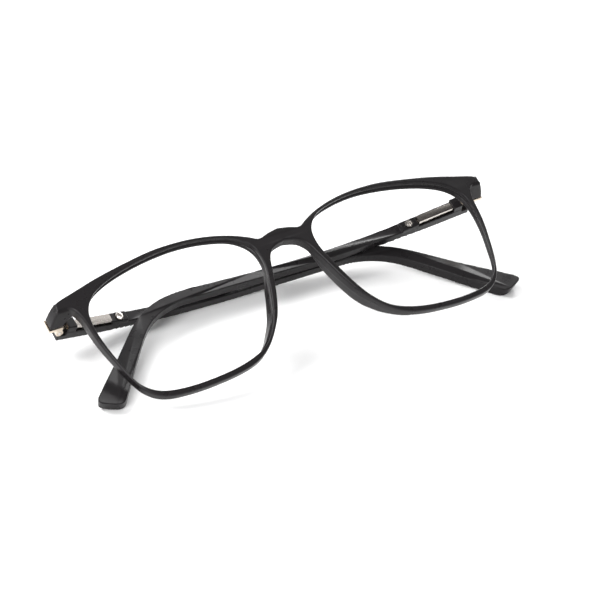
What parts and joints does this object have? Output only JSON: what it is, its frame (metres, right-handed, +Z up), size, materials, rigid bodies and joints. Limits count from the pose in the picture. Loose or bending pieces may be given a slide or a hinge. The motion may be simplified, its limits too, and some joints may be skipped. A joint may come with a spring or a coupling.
{
  "type": "eyeglasses frame",
  "caption": "Folded full-rim plastic eyeglasses frame without lenses, with moulded nose pads, sprung metal hinges, long temples and bent-down tips.",
  "frame": {"origin": "middle of the folded frame's footprint, on the surface it lies on", "axes": "+X towards the wearer's left side, along the width of the front; +Y towards the brow, up the tilted front; +Z up from the surface, out of the front's outer face"},
  "size_m": [0.1398, 0.0412, 0.0282],
  "materials": {
    "black_plastic": "satin black injection-moulded plastic",
    "hinge_steel": "satin, slightly warm",
    "housing_steel": "bright satin",
    "screw_steel": "turned",
    "spring_steel": "drawn wire",
    "brass": "turned"
  },
  "bodies": {
    "front": {"front_frame": "black_plastic", "hinge_plate_left": "hinge_steel", "hinge_plate_right": "hinge_steel", "plate_screw_left": "screw_steel", "plate_screw_right": "screw_steel", "pivot_screw_left": "screw_steel", "pivot_screw_right": "screw_steel"},
    "slider_left": {"spring_slider_left": "hinge_steel", "rod_nut_left": "brass"},
    "temple_left": {"temple_left": "black_plastic", "spring_housing_left": "housing_steel", "housing_screw_left": "screw_steel", "spring_bush_left": "brass", "coil_spring_left": "spring_steel"},
    "slider_right": {"spring_slider_right": "hinge_steel", "rod_nut_right": "brass"},
    "temple_right": {"temple_right": "black_plastic", "spring_housing_right": "housing_steel", "housing_screw_right": "screw_steel", "spring_bush_right": "brass", "coil_spring_right": "spring_steel"}
  },
  "joints": [
    {"name": "fold_right", "type": "hinge", "parent": "front", "child": "slider_right", "pos_m": [-0.06638, 0.01462, 0.00828], "axis": [-0.0203, 0.9359, 0.3517], "range_deg": [0, 77.7]},
    {"name": "fold_left", "type": "hinge", "parent": "front", "child": "slider_left", "pos_m": [0.0666, 0.01462, 0.01597], "axis": [0.0203, -0.9359, -0.3517], "range_deg": [0, 81.1]},
    {"name": "flex_right", "type": "slide", "parent": "slider_right", "child": "temple_right", "axis": [0.9869, 0.0751, -0.1426], "range_m": [0, 0.0015], "stiffness_N_per_m": 1500, "springref_m": -0.002, "deforming": ["coil_spring_right"]},
    {"name": "flex_left", "type": "slide", "parent": "slider_left", "child": "temple_left", "axis": [-0.978, 0.0545, -0.2016], "range_m": [0, 0.0015], "stiffness_N_per_m": 1500, "springref_m": -0.002, "deforming": ["coil_spring_left"]}
  ],
  "couplings": [
    {"joint": "fold_left", "follows": "fold_right", "ratio": 0.28}
  ]
}
